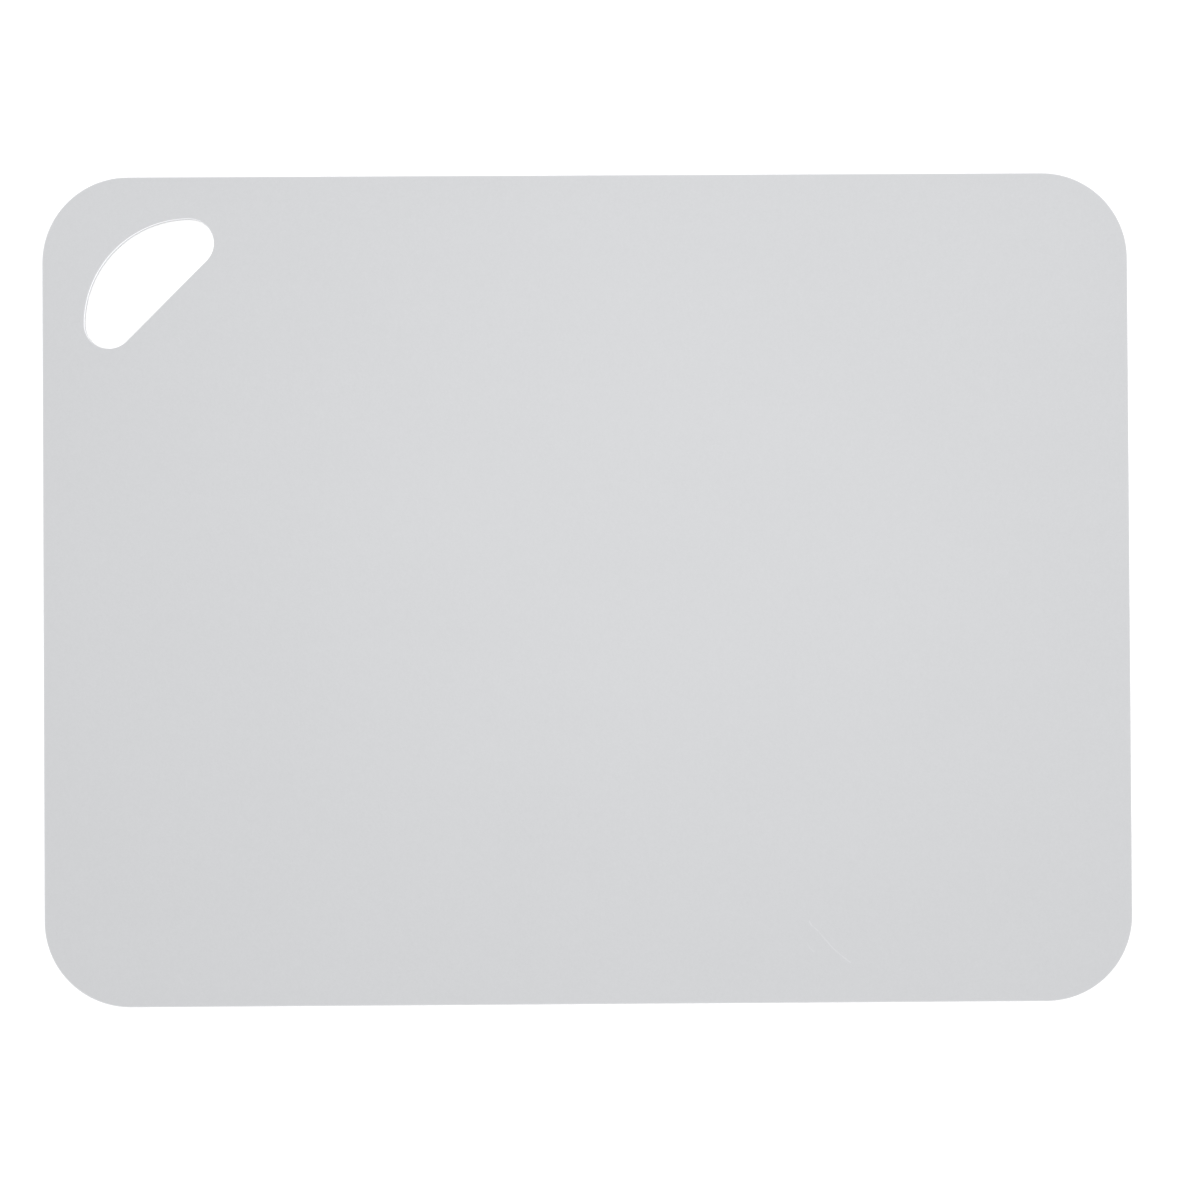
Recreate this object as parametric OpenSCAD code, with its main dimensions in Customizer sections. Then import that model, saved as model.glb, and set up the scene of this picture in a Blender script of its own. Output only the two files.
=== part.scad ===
// Flexible cutting mat: one thin plastic sheet with round corners and a
// quarter-round finger slot through one corner.
// The sheet is divided across its width into bands, so that it can curl up
// along both long edges. Each band turns on the next about a line in the
// middle of the sheet's thickness: one band ends in a half-round nose, and the
// other holds it in a hollow on the same centre, so the two never touch as
// they turn.
// Frame: the sheet lies flat on z = 0, centred on x = 0 and y = 0. The long
// side runs along x, and the slot is in the corner towards -x, +y.

/* [Sheet] */
// Length of the long side (along x)
mat_length = 380; // [330:1:440]
// Width of the short side (along y)
mat_width = 290; // [286:1:340]
// Thickness of the sheet
mat_t = 2; // [1.5:0.1:3]
// Radius of the four outer corners
corner_r = 30; // [10:0.5:40]

/* [Finger slot] */
// Centre of the slot's large arc, in from both edges of its corner
slot_in = 51.4; // [49:0.2:53]
// Radius of the large arc, on the side towards the corner
slot_r = 36.8; // [32:0.2:38]
// Radius of the slot's two round ends
slot_end_r = 8.6; // [5:0.1:10]

/* [Bending bands] */
// Distance from one bending line to the next
bend_pitch = 21; // [18:0.5:22]
// Clearance between a band's nose and the hollow that holds it
bend_gap = 0.15; // [0.1:0.01:0.2]

/* [Hidden] */
$fn = 96;
nose_r = mat_t / 2;
hollow_r = nose_r + bend_gap;
half_w = mat_width / 2;
// Bending lines, counted outwards from the middle of the mat
function bend_y(i) = bend_pitch * (i - 0.5);
sheet_colour = [0.84, 0.845, 0.855];

// A round bar lying along x, at distance y from the middle of the mat
module bar(y, r, over = 0) {
    translate([-mat_length / 2 - over, y, mat_t / 2])
        rotate([0, 90, 0])
            cylinder(r = r, h = mat_length + 2 * over);
}

// A flat plate from y0 to y1 over the full length
module plate(y0, y1) {
    translate([-mat_length / 2, y0, 0])
        cube([mat_length, y1 - y0, mat_t]);
}

// One band between two bending lines: a hollow on its inner line and a nose on
// its outer one
module bend_band(i) {
    difference() {
        union() {
            plate(bend_y(i), bend_y(i + 1));
            bar(bend_y(i + 1), nose_r);
        }
        bar(bend_y(i), hollow_r, 1);
    }
}

// What is cut off a square corner to leave a quarter round
module corner_waste(r) {
    translate([0, 0, -1])
        linear_extrude(mat_t + 2)
            difference() {
                square([r + 1, r + 1]);
                circle(r = r);
            }
}

// The stiff outer panel beyond the last bending line
module edge_panel() {
    difference() {
        plate(bend_y(4), half_w);
        bar(bend_y(4), hollow_r, 1);
        translate([mat_length / 2 - corner_r, half_w - corner_r, 0])
            corner_waste(corner_r);
        mirror([1, 0, 0])
            translate([mat_length / 2 - corner_r, half_w - corner_r, 0])
                corner_waste(corner_r);
    }
}

// Plan of the finger slot about the centre of its large arc, which faces
// -x, +y: a quarter disc whose two tips are round, with a straight side
// towards the middle of the mat
module slot_plan() {
    d = slot_r - slot_end_r;
    k = slot_r * 2;
    s = slot_end_r / sqrt(2);
    translate([-d, 0]) circle(r = slot_end_r);
    translate([0, d]) circle(r = slot_end_r);
    intersection() {
        circle(r = slot_r);
        polygon([[-d, 0], [-k, 0], [-k, k], [0, k], [0, d]]);
    }
    polygon([[-d, 0], [0, d], [s, d - s], [-d + s, -s]]);
}

module middle_band() {
    color(sheet_colour) {
        plate(-bend_y(1), bend_y(1));
        bar(bend_y(1), nose_r);
        bar(-bend_y(1), nose_r);
    }
}

module back_band_1() { color(sheet_colour) bend_band(1); }
module back_band_2() { color(sheet_colour) bend_band(2); }
module back_band_3() { color(sheet_colour) bend_band(3); }

module front_band_1() { color(sheet_colour) mirror([0, 1, 0]) bend_band(1); }
module front_band_2() { color(sheet_colour) mirror([0, 1, 0]) bend_band(2); }
module front_band_3() { color(sheet_colour) mirror([0, 1, 0]) bend_band(3); }

module front_edge() { color(sheet_colour) mirror([0, 1, 0]) edge_panel(); }

module back_edge() {
    color(sheet_colour)
        difference() {
            edge_panel();
            translate([-mat_length / 2 + slot_in, half_w - slot_in, -1])
                linear_extrude(mat_t + 2) slot_plan();
        }
}

middle_band();
front_band_1();
front_band_2();
front_band_3();
front_edge();
back_band_1();
back_band_2();
back_band_3();
back_edge();
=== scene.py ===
import math

import bmesh
import bpy
from mathutils import Matrix, Vector
from mathutils.geometry import delaunay_2d_cdt


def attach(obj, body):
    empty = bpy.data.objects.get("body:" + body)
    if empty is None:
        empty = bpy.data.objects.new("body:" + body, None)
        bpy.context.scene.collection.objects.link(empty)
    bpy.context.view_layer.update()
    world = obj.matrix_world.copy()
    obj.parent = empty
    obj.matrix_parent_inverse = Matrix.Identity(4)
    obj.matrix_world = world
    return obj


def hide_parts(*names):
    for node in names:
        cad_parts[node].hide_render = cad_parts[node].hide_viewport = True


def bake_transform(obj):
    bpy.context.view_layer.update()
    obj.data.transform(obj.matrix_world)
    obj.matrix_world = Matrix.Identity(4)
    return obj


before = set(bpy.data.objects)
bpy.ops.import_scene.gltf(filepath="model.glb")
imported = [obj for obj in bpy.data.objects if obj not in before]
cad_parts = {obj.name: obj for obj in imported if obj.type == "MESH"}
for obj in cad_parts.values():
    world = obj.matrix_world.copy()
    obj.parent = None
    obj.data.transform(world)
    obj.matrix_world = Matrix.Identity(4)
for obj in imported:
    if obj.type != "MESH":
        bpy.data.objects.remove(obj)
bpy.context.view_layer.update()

# ---------------------------------------------------------------- dimensions, in metres
HX, HY, T = 0.190, 0.145, 0.002      # half length, half width, thickness
CORNER = 0.030                       # outer corner radius
PITCH = 0.021                        # from one bending line to the next
REACH = PITCH / 2                    # a bending strip's length to each side of its line
SEAM = 4 * PITCH                     # where the bending strips hand over to the outer panels
SLOT_C = (-0.1386, 0.0936)           # centre of the slot's large arc
SLOT_R, SLOT_E = 0.0368, 0.0086      # the slot's large arc and its round ends
EASE, EASE_STEPS = 0.0004, 6         # rounding of the cut edges
HOLD = 0.00012                       # a last row of faces before the rounding, so that the flats shade flat
COLUMNS = 48                         # vertices along the length
# painted highlight along the cut edge's upper rounding, over the cut plastic's own slightly paler tone, from the face
# to the wall: along the outline, and round the slot, where the painted highlight line is narrower and brighter
PALE_EDGE_AND_HIGHLIGHT = [0.12, 0.28, 0.42, 0.55, 0.75, 0.85, 0.7]
SLOT_PALE_EDGE_AND_HIGHLIGHT = [0.03, 0.08, 0.14, 0.3, 0.85, 2.0, 2.4]
RIM_WALL, RIM_LOW = 0.4, 0.2         # the pale tone with painted highlight half way down the wall, and the lower rounding's share of it against the upper


# ---------------------------------------------------------------- the sheet's edge section
def edge_section(pale_edge_and_highlight):
    """The cut edge from the upper face round to the lower one: (distance in from the edge, height, paleness). The
    paleness is the cut plastic's lighter tone together with a painted highlight; it is 0 on the faces and highest where
    the edge is palest.
    """
    out = [(EASE + HOLD, T, 0.0)]
    for k in range(EASE_STEPS + 1):
        a = math.radians(90 * k / EASE_STEPS)
        out.append((EASE * (1 - math.sin(a)), T - EASE * (1 - math.cos(a)), pale_edge_and_highlight[k]))
    low = [(d, T - z, r * RIM_LOW) for d, z, r in reversed(out)]
    return out + [(0.0, T / 2, RIM_WALL)] + low


SECTION, SLOT_SECTION = edge_section(PALE_EDGE_AND_HIGHLIGHT), edge_section(SLOT_PALE_EDGE_AND_HIGHLIGHT)
COLUMN_XS = [HX - EASE - HOLD - 2 * (HX - EASE - HOLD) * k / COLUMNS for k in range(COLUMNS + 1)]


def finish_mesh(name, bm, pale_edge_and_highlight, bend=None):
    """Writes bm to a new object, with each vertex's place at rest, its pale edge tone with painted highlight, and its
    place about the bending line.
    """
    bmesh.ops.recalc_face_normals(bm, faces=bm.faces)
    me = bpy.data.meshes.new(name)
    bm.verts.index_update()
    rims = [pale_edge_and_highlight.get(v, 0.0) for v in bm.verts]
    bends = [x for v in bm.verts for x in bend[v]] if bend else None
    bm.to_mesh(me)
    bm.free()
    rest = me.attributes.new("rest_co", "FLOAT_VECTOR", "POINT")
    rest.data.foreach_set("vector", [x for v in me.vertices for x in v.co])
    # per vertex: the cut edge's paler tone together with its painted highlight
    edge = me.attributes.new("pale_edge_and_highlight", "FLOAT", "POINT")
    edge.data.foreach_set("value", rims)
    if bends:
        about = me.attributes.new("about_line", "FLOAT_VECTOR", "POINT")
        about.data.foreach_set("vector", bends)
    me.polygons.foreach_set("use_smooth", [True] * len(me.polygons))
    me.set_sharp_from_angle(angle=math.radians(50))
    ob = bpy.data.objects.new(name, me)
    bpy.context.scene.collection.objects.link(ob)
    return ob


# ---------------------------------------------------------------- the bending strips
# Rows of a strip by their distance from its bending line. They close up at both ends, so that two
# strips shade alike where they meet.
NEAR_END = [0.0, 0.00005, 0.00015, 0.00035, 0.00075]
ROWS = [-REACH + s for s in NEAR_END]
ROWS += [-REACH + 0.00075 + (REACH - 0.00075) * k / 11 for k in range(1, 12)]
ROWS += [-s for s in reversed(ROWS[:-1])]
RING = 2 * (COLUMNS + 1) + 2 * (len(SECTION) - 2)


def strip(name, side, line):
    """A closed stretch of the sheet over its full length, REACH to each side of a bending line."""
    loop = [(x, T, 0.0) for x in COLUMN_XS]
    loop += [(-HX + d, z, r) for d, z, r in SECTION[1:-1]]
    loop += [(x, 0.0, 0.0) for x in reversed(COLUMN_XS)]
    loop += [(HX - d, z, r) for d, z, r in reversed(SECTION[1:-1])]
    bm = bmesh.new()
    pale_edge_and_highlight, bend, rings = {}, {}, []
    for s in ROWS:
        ring = [bm.verts.new((x, side * (line + s), z)) for x, z, _ in loop]
        for v, (x, z, r) in zip(ring, loop):
            pale_edge_and_highlight[v] = r
            bend[v] = (x, s, z - T / 2)
        rings.append(ring)
    for a, b in zip(rings, rings[1:]):
        for i in range(RING):
            bm.faces.new((a[i], a[(i + 1) % RING], b[(i + 1) % RING], b[i]))
    for ring in (rings[0], rings[-1]):
        # an end is closed by a row of quads from the upper face to the lower one, and one face at each cut edge
        top = ring[: COLUMNS + 1]
        low = ring[COLUMNS + len(SECTION) - 1: COLUMNS + len(SECTION) + COLUMNS][::-1]
        for i in range(COLUMNS):
            bm.faces.new((top[i], top[i + 1], low[i + 1], low[i]))
        bm.faces.new(ring[COLUMNS: COLUMNS + len(SECTION)])
        bm.faces.new(ring[2 * COLUMNS + len(SECTION) - 1:] + [ring[0]])
    return finish_mesh(name, bm, pale_edge_and_highlight, bend)


def bend_tree():
    """The nodes read where the two halves are, and put each point on the arc that meets both of them."""
    ng = bpy.data.node_groups.new("even_bend", "GeometryNodeTree")
    ng.interface.new_socket("Geometry", in_out="INPUT", socket_type="NodeSocketGeometry")
    ng.interface.new_socket("Geometry", in_out="OUTPUT", socket_type="NodeSocketGeometry")
    new, link = ng.nodes.new, ng.links.new
    source, place = new("NodeGroupInput").outputs[0], new("GeometryNodeInputPosition").outputs[0]

    def put(value, socket):
        if isinstance(value, (int, float, tuple)):
            socket.default_value = value
        else:
            link(value, socket)

    def m(op, *values):
        n = new("ShaderNodeMath")
        n.operation = op
        for value, socket in zip(values, n.inputs):
            put(value, socket)
        return n.outputs[0]

    def v(op, *values):
        n = new("ShaderNodeVectorMath")
        n.operation = op
        if op == "SCALE":
            put(values[0], n.inputs[0])
            put(values[1], n.inputs["Scale"])
        else:
            for value, socket in zip(values, n.inputs):
                put(value, socket)
        return n.outputs["Value" if op == "DOT_PRODUCT" else "Vector"]

    def point(row, column):
        n = new("GeometryNodeSampleIndex")
        n.data_type, n.domain = "FLOAT_VECTOR", "POINT"
        link(source, n.inputs["Geometry"])
        link(place, n.inputs["Value"])
        n.inputs["Index"].default_value = row * RING + column
        return n.outputs["Value"]

    def way(a, b):
        return v("NORMALIZE", v("SUBTRACT", b, a))

    mid, under = COLUMNS // 2, COLUMNS + len(SECTION) - 1 + COLUMNS // 2
    first, last, half = 0, len(ROWS) - 1, len(ROWS) // 2
    in_top, in_low = point(first, mid), point(first, under)
    out_top, out_low = point(last, mid), point(last, under)
    # the direction outwards along each half, the direction up out of it, and the direction along the length
    in_way, out_way = way(in_top, point(half - 1, mid)), way(point(half + 1, mid), out_top)
    in_up, out_up = way(in_low, in_top), way(out_low, out_top)
    length_way = way(in_top, point(first, 1))
    centre = v("ADD", v("SCALE", v("ADD", in_top, in_low), 0.5), v("SCALE", in_way, REACH))
    mean_way, mean_up = v("NORMALIZE", v("ADD", in_way, out_way)), v("NORMALIZE", v("ADD", in_up, out_up))
    turn = m("MULTIPLY", m("ARCTAN2", v("DOT_PRODUCT", out_way, in_up), v("DOT_PRODUCT", out_way, in_way)), 0.5)
    radius = m("DIVIDE", REACH, m("TANGENT", turn))
    about = new("GeometryNodeInputNamedAttribute")
    about.data_type = "FLOAT_VECTOR"
    about.inputs["Name"].default_value = "about_line"
    split = new("ShaderNodeSeparateXYZ")
    link(about.outputs["Attribute"], split.inputs[0])
    x, s, h = split.outputs
    angle = m("MULTIPLY", turn, m("DIVIDE", s, REACH))
    own = m("SUBTRACT", radius, h)
    along = m("MULTIPLY", own, m("SINE", angle))
    up = m("SUBTRACT", m("DIVIDE", radius, m("COSINE", turn)), m("MULTIPLY", own, m("COSINE", angle)))
    moved = v("ADD", v("ADD", centre, v("SCALE", length_way, x)), v("ADD", v("SCALE", mean_way, along), v("SCALE", mean_up, up)))
    put_there = new("GeometryNodeSetPosition")
    link(source, put_there.inputs["Geometry"])
    link(m("GREATER_THAN", m("ABSOLUTE", turn), 0.0005), put_there.inputs["Selection"])
    link(moved, put_there.inputs["Position"])
    link(put_there.outputs[0], new("NodeGroupOutput").inputs[0])
    return ng


# ---------------------------------------------------------------- the outer panels
def arc(cx, cy, r, a0, a1, n):
    return [
        (cx + r * math.cos(math.radians(a0 + (a1 - a0) * k / n)), cy + r * math.sin(math.radians(a0 + (a1 - a0) * k / n)))
        for k in range(n + 1)
    ]


def panel_outline(d):
    """The outer edge of the back panel, d in from the cut edge, from the seam's right end round to its left end."""
    r = CORNER
    out = [(HX - d, SEAM + (HY - r - SEAM) * k / 6) for k in range(6)]
    out += arc(HX - r, HY - r, r - d, 0, 90, 36)
    out += [(HX - r - (2 * HX - 2 * r) * k / 48, HY - d) for k in range(1, 48)]
    out += arc(-HX + r, HY - r, r - d, 90, 180, 36)
    out += [(-HX + d, HY - r - (HY - r - SEAM) * k / 6) for k in range(1, 7)]
    return out


def slot_outline(d):
    """The slot's edge, d out into the sheet: a quarter arc towards the corner, two round ends and a straight side."""
    (cx, cy), f, e = SLOT_C, SLOT_R - SLOT_E, SLOT_E + d
    out = arc(cx, cy, SLOT_R + d, 90, 180, 60)
    out += arc(cx - f, cy, e, 180, 315, 36)[1:]
    a, far = out[-1], arc(cx, cy + f, e, -45, 90, 36)
    out += [(a[0] + (far[0][0] - a[0]) * k / 16, a[1] + (far[0][1] - a[1]) * k / 16) for k in range(1, 16)]
    return out + far[:-1]


def inside(p, loop):
    x, y, hit = p[0], p[1], False
    for (x0, y0), (x1, y1) in zip(loop, loop[1:] + loop[:1]):
        if (y0 > y) != (y1 > y) and x < x0 + (y - y0) * (x1 - x0) / (y1 - y0):
            hit = not hit
    return hit


def gap_to(p, loop):
    return min(math.hypot(p[0] - q[0], p[1] - q[1]) for q in loop)


def panel(name, side, with_slot):
    """The flat outer part of the sheet beyond the last strip, with its round corners."""
    bm = bmesh.new()
    pale_edge_and_highlight = {}
    outer = [[bm.verts.new((x, y, z)) for x, y in panel_outline(d)] for d, z, _ in SECTION]
    hole = [[bm.verts.new((x, y, z)) for x, y in slot_outline(d)] for d, z, _ in SECTION] if with_slot else []
    for rings, section in ((outer, SECTION), (hole, SLOT_SECTION)):
        # each ring of the edge takes its step's pale tone with painted highlight, the brighter painted line round the
        # slot
        for ring, (_, _, r) in zip(rings, section):
            pale_edge_and_highlight.update({v: r for v in ring})
    for a, b in zip(outer, outer[1:]):
        for i in range(len(a) - 1):
            bm.faces.new((a[i], a[i + 1], b[i + 1], b[i]))
    for a, b in zip(hole, hole[1:]):
        for i in range(len(a)):
            j = (i + 1) % len(a)
            bm.faces.new((a[i], a[j], b[j], b[i]))
    step, seams = 0.007, []
    for level, z in ((0, T), (-1, 0.0)):
        seam = [bm.verts.new((x, SEAM, z)) for x in COLUMN_XS[-2:0:-1]]
        border = outer[level] + seam
        flat = [(v.co.x, v.co.y) for v in border]
        slot_flat = [(v.co.x, v.co.y) for v in hole[level]] if hole else []
        grid = []
        for j in range(1, 9):
            for i in range(-28, 29):
                p = (i * step + (step / 2 if j % 2 else 0), SEAM + j * step)
                if not inside(p, flat) or gap_to(p, flat) < 0.004:
                    continue
                if slot_flat and (inside(p, slot_flat) or gap_to(p, slot_flat) < 0.003):
                    continue
                grid.append(p)
        verts = border + (hole[level] if hole else []) + [bm.verts.new((x, y, z)) for x, y in grid]
        k = len(border)
        edges = [(i, (i + 1) % k) for i in range(k)]
        if hole:
            h = len(hole[level])
            edges += [(k + i, k + (i + 1) % h) for i in range(h)]
        _, _, tris, origin, _, _ = delaunay_2d_cdt([Vector((v.co.x, v.co.y)) for v in verts], edges, [], 1, 1e-7)
        for t in tris:
            vs = [verts[origin[i][0]] for i in t]
            c = (sum(v.co.x for v in vs) / 3, sum(v.co.y for v in vs) / 3)
            if not (slot_flat and inside(c, slot_flat)):
                bm.faces.new(vs)
        seams.append([outer[level][-1]] + seam + [outer[level][0]])
    # the end at the seam
    top, low = seams
    for i in range(COLUMNS):
        bm.faces.new((top[i], top[i + 1], low[i + 1], low[i]))
    bm.faces.new([ring[0] for ring in outer])
    bm.faces.new([ring[-1] for ring in outer])
    for v in bm.verts:
        v.co.y *= side
    return finish_mesh(name, bm, pale_edge_and_highlight)


# ---------------------------------------------------------------- material
def sheet_material():
    mat = bpy.data.materials.new("sheet_plastic")
    mat.use_nodes = True
    nt = mat.node_tree
    nt.nodes.clear()
    new, link = nt.nodes.new, nt.links.new

    def math_node(op, a, b=None, clamp=False):
        m = new("ShaderNodeMath")
        m.operation, m.use_clamp = op, clamp
        for i, x in enumerate((a, b)):
            if x is None:
                continue
            if isinstance(x, (int, float)):
                m.inputs[i].default_value = x
            else:
                link(x, m.inputs[i])
        return m.outputs[0]

    def ramp(x, lo, hi, to_lo=0.0, to_hi=1.0):
        m = new("ShaderNodeMapRange")
        m.clamp = True
        m.interpolation_type = "SMOOTHSTEP"
        link(x, m.inputs["Value"])
        for key, v in (("From Min", lo), ("From Max", hi), ("To Min", to_lo), ("To Max", to_hi)):
            m.inputs[key].default_value = v
        return m.outputs[0]

    at = new("ShaderNodeAttribute")
    at.attribute_name = "rest_co"
    place = at.outputs["Vector"]
    pale_edge_and_highlight = new("ShaderNodeAttribute")
    pale_edge_and_highlight.attribute_name = "pale_edge_and_highlight"

    def noise(scale, detail=2.0, rough=0.5, stretch=(1, 1, 1), offset=(0, 0, 0)):
        mp = new("ShaderNodeMapping")
        mp.inputs["Scale"].default_value = stretch
        mp.inputs["Location"].default_value = offset
        link(place, mp.inputs["Vector"])
        nz = new("ShaderNodeTexNoise")
        nz.inputs["Scale"].default_value = scale
        nz.inputs["Detail"].default_value = detail
        nz.inputs["Roughness"].default_value = rough
        link(mp.outputs[0], nz.inputs["Vector"])
        return nz.outputs[0]

    grain = noise(1150, 3.0, 0.6)                       # fine moulded grain, about 0.9 mm
    mottle = noise(330, 2.0, 0.5, offset=(5, 4, 1))     # slight unevenness, about 3 mm
    grit = noise(3400, 1.0, 0.5, offset=(3, 1, 2))      # the finest speckle
    cloud = noise(14, 2.0, 0.5)                         # slow variation of tone over the sheet
    drawn = noise(60, 2.0, 0.55, stretch=(0.12, 1, 1), offset=(0.7, 0.2, 0))   # faint streaks along the long side

    # knife marks: (start, end, half width, strength), millimetres in the sheet's own frame
    marks = [
        ((77.0, -116.6), (77.6, -117.8), 0.50, 0.9),
        ((77.6, -117.8), (79.7, -119.6), 0.36, 0.9),
        ((79.7, -119.6), (82.5, -122.9), 0.34, 0.8),
        ((82.5, -122.9), (85.0, -125.8), 0.40, 1.0),
        ((85.0, -125.8), (88.3, -128.7), 0.36, 0.9),
        ((88.3, -128.7), (91.2, -131.0), 0.36, 1.0),
        ((76.1, -123.7), (76.9, -125.7), 0.30, 0.5),
        ((76.9, -125.7), (78.3, -127.0), 0.34, 0.7),
        ((-142.4, 88.6), (-141.2, 87.2), 0.30, 0.5),
        ((146.3, 5.9), (147.3, 4.6), 0.30, 0.5),
        ((164.6, -92.0), (165.8, -93.6), 0.30, 0.6),
        ((-142.5, -135.6), (-141.4, -136.6), 0.30, 0.5),
        ((-44.6, -0.6), (-41.2, 0.4), 0.24, 0.25),
    ]
    cuts = None
    for (ax, ay), (bx, by), half, strength in marks:
        length = math.hypot(bx - ax, by - ay)
        ux, uy = (bx - ax) / length, (by - ay) / length
        sub = new("ShaderNodeVectorMath")
        sub.operation = "SUBTRACT"
        link(place, sub.inputs[0])
        sub.inputs[1].default_value = (ax / 1000, ay / 1000, T)
        along = new("ShaderNodeVectorMath")
        along.operation = "DOT_PRODUCT"
        link(sub.outputs[0], along.inputs[0])
        along.inputs[1].default_value = (ux, uy, 0)
        across = new("ShaderNodeVectorMath")
        across.operation = "DOT_PRODUCT"
        link(sub.outputs[0], across.inputs[0])
        across.inputs[1].default_value = (-uy, ux, 0)
        t = along.outputs["Value"]
        held = math_node("MINIMUM", math_node("MAXIMUM", t, 0.0), length / 1000)
        over = math_node("SUBTRACT", t, held)
        d = math_node("SQRT", math_node("ADD", math_node("MULTIPLY", over, over),
                                        math_node("MULTIPLY", across.outputs["Value"], across.outputs["Value"])))
        m = math_node("MULTIPLY", ramp(d, 0.0, half / 1000, 1.0, 0.0), strength)
        cuts = m if cuts is None else math_node("MAXIMUM", cuts, m)
    # only the upper face is marked
    sep = new("ShaderNodeSeparateXYZ")
    link(place, sep.inputs[0])
    cuts = math_node("MULTIPLY", cuts, math_node("GREATER_THAN", sep.outputs["Z"], T * 0.9))

    # tone: one grey, moved a little by the grain, the mottle, the streaks and the clouds
    tone = math_node("ADD", 1.0, math_node("MULTIPLY", math_node("SUBTRACT", grain, 0.5), 0.08))
    tone = math_node("ADD", tone, math_node("MULTIPLY", math_node("SUBTRACT", grit, 0.5), 0.05))
    tone = math_node("ADD", tone, math_node("MULTIPLY", math_node("SUBTRACT", mottle, 0.5), 0.022))
    tone = math_node("ADD", tone, math_node("MULTIPLY", math_node("SUBTRACT", cloud, 0.5), 0.022))
    tone = math_node("ADD", tone, math_node("MULTIPLY", math_node("SUBTRACT", drawn, 0.5), 0.012))
    # the cut edges: the plastic's paler cut tone together with a painted highlight along the upper rounding, brightest
    # round the slot
    tone = math_node("ADD", tone, math_node("MULTIPLY", pale_edge_and_highlight.outputs["Fac"], 0.5))
    tone = math_node("ADD", tone, math_node("MULTIPLY", cuts, 0.10))
    base = new("ShaderNodeVectorMath")
    base.operation = "SCALE"
    base.inputs[0].default_value = (0.4058, 0.4102, 0.4203)
    link(tone, base.inputs["Scale"])

    rough = math_node("ADD", 0.52, math_node("MULTIPLY", grain, 0.12))
    rough = math_node("SUBTRACT", rough, math_node("MULTIPLY", pale_edge_and_highlight.outputs["Fac"], 0.14))
    rough = math_node("ADD", rough, math_node("MULTIPLY", cuts, 0.1), clamp=True)

    height = math_node("ADD", math_node("MULTIPLY", grain, 1.0), math_node("MULTIPLY", grit, 0.35))
    keep = math_node("SUBTRACT", 1.0, math_node("MULTIPLY", pale_edge_and_highlight.outputs["Fac"], 0.8))
    height = math_node("MULTIPLY", height, keep)
    height = math_node("SUBTRACT", height, math_node("MULTIPLY", cuts, 1.2))
    bump = new("ShaderNodeBump")
    bump.inputs["Strength"].default_value = 0.55
    bump.inputs["Distance"].default_value = 0.00005
    link(height, bump.inputs["Height"])

    bsdf = new("ShaderNodeBsdfPrincipled")
    bsdf.inputs["IOR"].default_value = 1.5
    link(base.outputs[0], bsdf.inputs["Base Color"])
    link(rough, bsdf.inputs["Roughness"])
    link(bump.outputs[0], bsdf.inputs["Normal"])
    out = new("ShaderNodeOutputMaterial")
    link(bsdf.outputs[0], out.inputs["Surface"])
    return mat


# ---------------------------------------------------------------- the sheet's pieces
plastic = sheet_material()
tree = bend_tree()
CHAIN = {
    1: ["middle", "back_1", "back_2", "back_3", "back_panel"],
    -1: ["middle", "front_1", "front_2", "front_3", "front_panel"],
}
for side, label in ((1, "back"), (-1, "front")):
    for i in range(4):
        line = PITCH * (i + 0.5)
        ob = strip(f"{label}_bend_{i + 1}", side, line)
        ob.data.materials.append(plastic)
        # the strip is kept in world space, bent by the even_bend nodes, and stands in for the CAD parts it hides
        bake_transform(ob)
        ob.modifiers.new("even_bend", "NODES").node_group = tree
        names = [f"{label}_band_{i + 1}"] if i < 3 else [f"{label}_edge"]
        if i == 0 and side == 1:
            names.append("middle_band")
        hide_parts(*names)
    ob = panel(f"{label}_panel", side, with_slot=side == 1)
    ob.data.materials.append(plastic)
    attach(ob, CHAIN[side][4])
    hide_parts(f"{label}_edge")

# ---------------------------------------------------------------- floor
bpy.ops.mesh.primitive_plane_add(size=8, location=(0, 0, -0.0002))
floor = bpy.context.object
floor.name = "floor"
fm = bpy.data.materials.new("floor_white")
fm.use_nodes = True
fb = fm.node_tree.nodes["Principled BSDF"]
fb.inputs["Base Color"].default_value = (0.94, 0.94, 0.94, 1)
fb.inputs["Roughness"].default_value = 0.9
fb.inputs["Specular IOR Level"].default_value = 0.1
floor.data.materials.append(fm)

# ---------------------------------------------------------------- light
world = bpy.data.worlds.new("studio")
bpy.context.scene.world = world
world.use_nodes = True
world.node_tree.nodes["Background"].inputs["Color"].default_value = (1, 1, 1, 1)
world.node_tree.nodes["Background"].inputs["Strength"].default_value = 1.0


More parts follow.
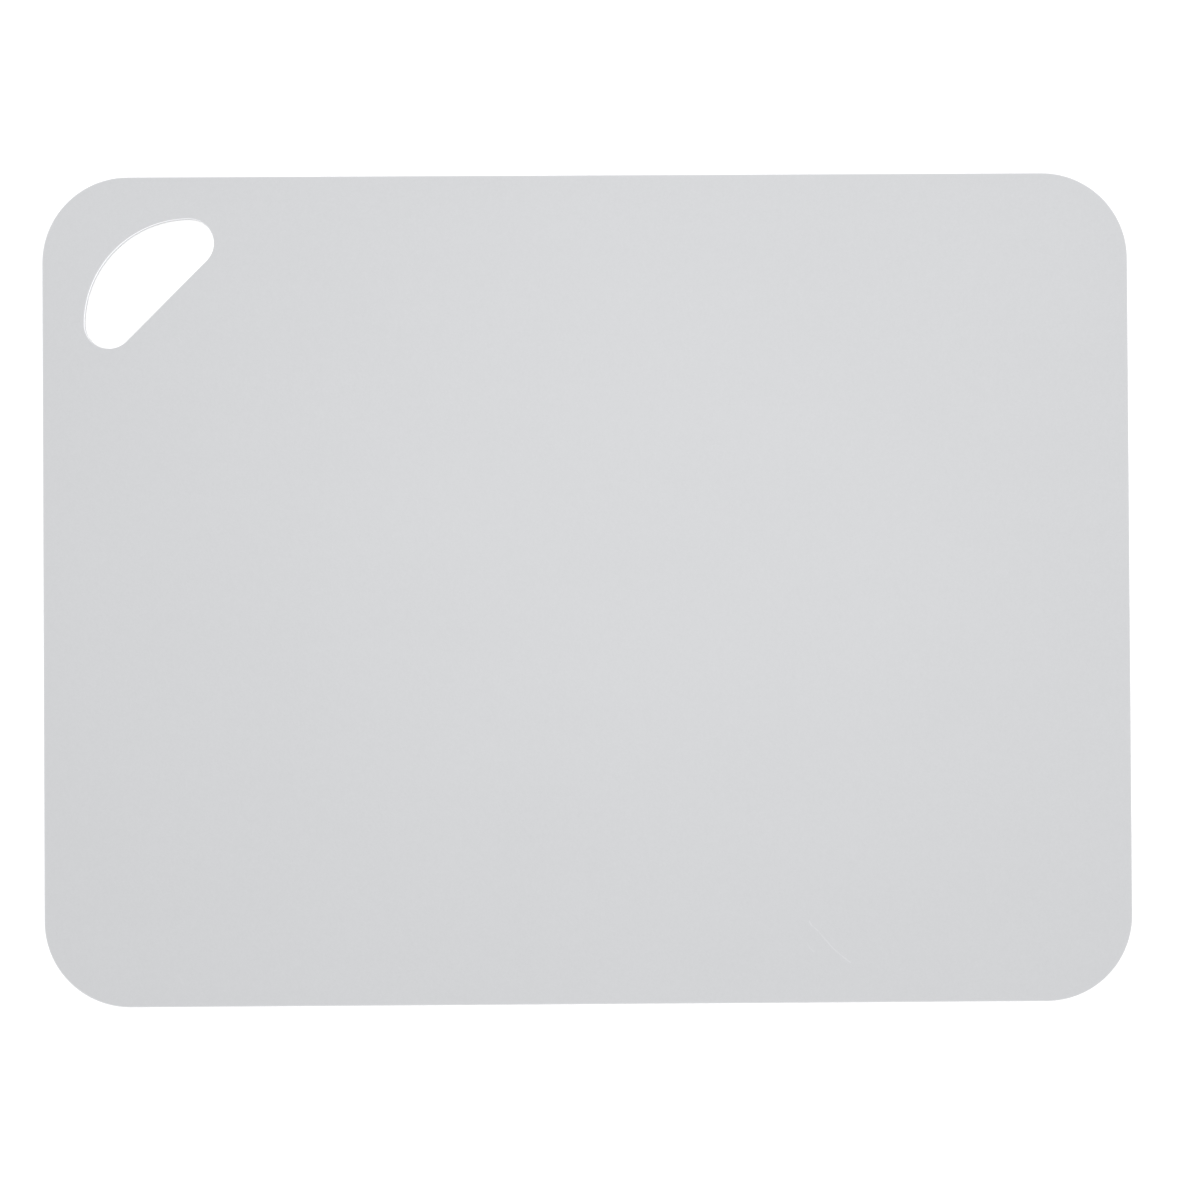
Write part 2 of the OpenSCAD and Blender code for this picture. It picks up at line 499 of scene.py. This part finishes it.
def softbox(name, size, place, aim, power):
    la = bpy.data.lights.new(name, "AREA")
    la.shape, la.size, la.size_y, la.energy = "RECTANGLE", size[0], size[1], power
    ob = bpy.data.objects.new(name, la)
    ob.location = place
    ob.rotation_mode = "QUATERNION"
    ob.rotation_quaternion = (Vector(aim) - Vector(place)).to_track_quat("-Z", "Y")
    ob.visible_camera = False
    bpy.context.scene.collection.objects.link(ob)
    return ob


def side_light(name, way, power, spread):
    la = bpy.data.lights.new(name, "SUN")
    la.energy, la.angle = power, math.radians(spread)
    ob = bpy.data.objects.new(name, la)
    ob.rotation_mode = "QUATERNION"
    ob.rotation_quaternion = Vector(way).to_track_quat("-Z", "Y")
    bpy.context.scene.collection.objects.link(ob)
    return ob


softbox("key", (0.5, 0.5), (0.06, 0.11, 0.68), (0.05, 0.09, 0), 2.2)
# wide soft lights from the left and a little from behind, 28 degrees up, and weaker from the right, 18 degrees up;
# neither is mirrored in the sheet, which would turn it white when it is seen end-on
for name, way, power in (("left_light", (0.875, -0.10, -0.47), 1.0), ("right_light", (-0.95, 0, -0.31), 0.5)):
    side_light(name, way, power, 35).visible_glossy = False

# ---------------------------------------------------------------- camera, from the fit to the photo's outline
FOCAL_PX, SIZE_PX = 1572.4, 1181.0
rx, ry, rz = -0.0063, 0.0041, 0.0058
tx, ty, dist = -0.001140, 0.000540, 0.5497
turn = Matrix.Rotation(rz, 3, "Z") @ Matrix.Rotation(ry, 3, "Y") @ Matrix.Rotation(rx, 3, "X")
cam_data = bpy.data.cameras.new("camera")
cam_data.sensor_width = 36
cam_data.lens = FOCAL_PX / SIZE_PX * 36
cam_data.clip_start, cam_data.clip_end = 0.05, 20
cam = bpy.data.objects.new("camera", cam_data)
back = turn.transposed()
where = back @ Vector((-tx, -ty, dist)) + Vector((0, 0, T))
cam.matrix_world = Matrix.Translation(where) @ back.to_4x4()
bpy.context.scene.collection.objects.link(cam)
bpy.context.scene.camera = cam

bpy.context.scene.view_settings.view_transform = "Standard"
bpy.context.scene.view_settings.look = "None"

bpy.context.view_layer.update()
